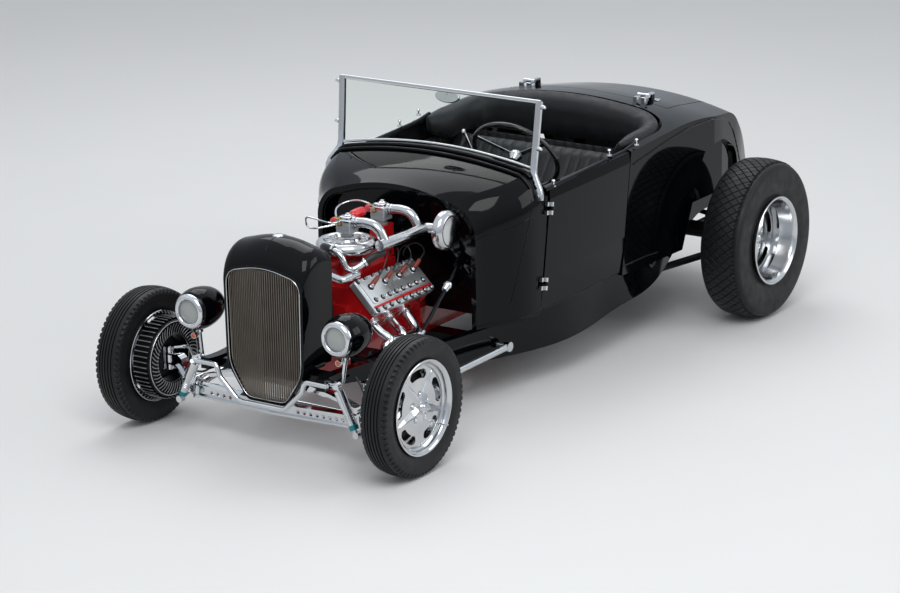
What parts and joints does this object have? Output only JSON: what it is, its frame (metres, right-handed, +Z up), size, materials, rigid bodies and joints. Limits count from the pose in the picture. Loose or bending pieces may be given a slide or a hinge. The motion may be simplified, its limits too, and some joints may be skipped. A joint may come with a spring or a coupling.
{
  "type": "open two-seat hot rod",
  "caption": "Open two-seat hot rod with an uncovered blown engine, finned drum brakes, star wheels, hinged doors, deck lid and linked steering",
  "frame": {"origin": "bottom centre of the bounding box, on the ground under the car", "axes": "+X to the car's left, +Y to the tail, +Z up; the nose points to -Y"},
  "size_m": [1.85, 3.6179, 1.301],
  "materials": {
    "gloss_black_paint": "gloss",
    "red_paint": "gloss",
    "satin_black_paint": "satin",
    "chrome": "polished",
    "polished_aluminium": "polished",
    "cast_iron": "cast",
    "bronze": "satin",
    "tyre": "moulded",
    "rubber": "moulded",
    "black_leather": "sewn",
    "glass": "clear",
    "black_plastic": "moulded",
    "amber_lens": "clear"
  },
  "bodies": {
    "car": {"air_cleaner": "chrome", "belt_drive": "rubber", "blower": "polished_aluminium", "body_hinges": "chrome", "carburettors": "cast_iron", "cockpit_roll": "black_leather", "coolant_pipe": "chrome", "cowl": "gloss_black_paint", "crossmembers": "gloss_black_paint", "cylinder_heads": "polished_aluminium", "dashboard": "gloss_black_paint", "engine_block": "red_paint", "exhaust_pipes": "chrome", "firewall": "gloss_black_paint", "floor": "satin_black_paint", "frame_rails": "gloss_black_paint", "front_axle": "chrome", "front_radius_rods": "chrome", "front_shocks": "chrome", "gear_lever": "chrome", "grille_insert": "bronze", "grille_shell": "gloss_black_paint", "headlight_buckets": "gloss_black_paint", "headlight_lenses": "glass", "headlight_rims": "chrome", "headlight_stands": "chrome", "intake_manifold": "polished_aluminium", "intake_tubes": "chrome", "leaf_springs": "chrome", "mirror": "chrome", "radiator": "satin_black_paint", "rear_axle": "satin_black_paint", "rear_body": "gloss_black_paint", "rear_radius_rods": "satin_black_paint", "seat": "black_leather", "small_lamps": "amber_lens", "spreader_bar": "chrome", "steering_column": "chrome", "windscreen_frame": "chrome", "windscreen_glass": "glass"},
    "knuckle_left": {"knuckle_left": "chrome"},
    "knuckle_right": {"knuckle_right": "chrome"},
    "tie_rod": {"tie_rod": "chrome"},
    "pitman_arm": {"pitman_arm": "chrome"},
    "drag_link": {"drag_link": "chrome"},
    "steering_wheel": {"steering_wheel": "black_plastic"},
    "door_left": {"door_left": "gloss_black_paint"},
    "door_right": {"door_right": "gloss_black_paint"},
    "deck_lid": {"deck_lid": "gloss_black_paint"},
    "front_wheel_left": {"wheel_front_left": "polished_aluminium", "tyre_front_left": "tyre", "drum_front_left": "satin_black_paint"},
    "rear_wheel_left": {"wheel_rear_left": "polished_aluminium", "tyre_rear_left": "tyre"},
    "front_wheel_right": {"wheel_front_right": "polished_aluminium", "tyre_front_right": "tyre", "drum_front_right": "satin_black_paint"},
    "rear_wheel_right": {"wheel_rear_right": "polished_aluminium", "tyre_rear_right": "tyre"}
  },
  "joints": [
    {"name": "steer_left", "type": "hinge", "parent": "car", "child": "knuckle_left", "pos_m": [0.575, -1.515, 0.294], "axis": [0, 0, 1], "range_deg": [-28, 28]},
    {"name": "steer_right", "type": "hinge", "parent": "car", "child": "knuckle_right", "pos_m": [-0.575, -1.515, 0.294], "axis": [0, 0, 1], "range_deg": [-28, 28]},
    {"name": "tie_rod_turn", "type": "hinge", "parent": "knuckle_left", "child": "tie_rod", "pos_m": [0.533, -1.405, 0.16], "axis": [0, 0, 1], "range_deg": [-30.3, 30.3]},
    {"name": "pitman_turn", "type": "hinge", "parent": "car", "child": "pitman_arm", "pos_m": [0.257, -1.249, 0.238], "axis": [0, 0, 1], "range_deg": [-28, 28]},
    {"name": "drag_link_turn", "type": "hinge", "parent": "pitman_arm", "child": "drag_link", "pos_m": [0.299, -1.139, 0.218], "axis": [0, 0, 1], "range_deg": [-28, 28]},
    {"name": "steering_wheel_turn", "type": "hinge", "parent": "car", "child": "steering_wheel", "pos_m": [0.272, -0.095, 0.958], "axis": [-0.0756, 0.8293, 0.5537], "range_deg": [-392, 392]},
    {"name": "roll_front_left", "type": "hinge", "parent": "knuckle_left", "child": "front_wheel_left", "pos_m": [0.689, -1.515, 0.294], "axis": [1, 0, 0], "continuous": true},
    {"name": "roll_front_right", "type": "hinge", "parent": "knuckle_right", "child": "front_wheel_right", "pos_m": [-0.689, -1.515, 0.294], "axis": [1, 0, 0], "continuous": true},
    {"name": "roll_rear_left", "type": "hinge", "parent": "car", "child": "rear_wheel_left", "pos_m": [0.812, 1.177, 0.379], "axis": [1, 0, 0], "continuous": true},
    {"name": "roll_rear_right", "type": "hinge", "parent": "car", "child": "rear_wheel_right", "pos_m": [-0.812, 1.177, 0.379], "axis": [1, 0, 0], "continuous": true},
    {"name": "door_left_hinge", "type": "hinge", "parent": "car", "child": "door_left", "pos_m": [0.582, -0.31741, 0.493], "axis": [-0.0104, -0.1346, -0.9908], "range_deg": [0, 65]},
    {"name": "door_right_hinge", "type": "hinge", "parent": "car", "child": "door_right", "pos_m": [-0.582, -0.31741, 0.493], "axis": [-0.0104, 0.1346, 0.9908], "range_deg": [0, 65]},
    {"name": "deck_lid_hinge", "type": "hinge", "parent": "car", "child": "deck_lid", "pos_m": [0, 0.971, 1.054], "axis": [1, 0, 0], "range_deg": [0, 50]}
  ],
  "couplings": [
    {"joint": "steer_right", "follows": "steer_left", "ratio": 1},
    {"joint": "tie_rod_turn", "follows": "steer_left", "ratio": -1.0787},
    {"joint": "pitman_turn", "follows": "steer_left", "ratio": 1},
    {"joint": "drag_link_turn", "follows": "steer_left", "ratio": -1},
    {"joint": "steering_wheel_turn", "follows": "steer_left", "ratio": 14}
  ]
}
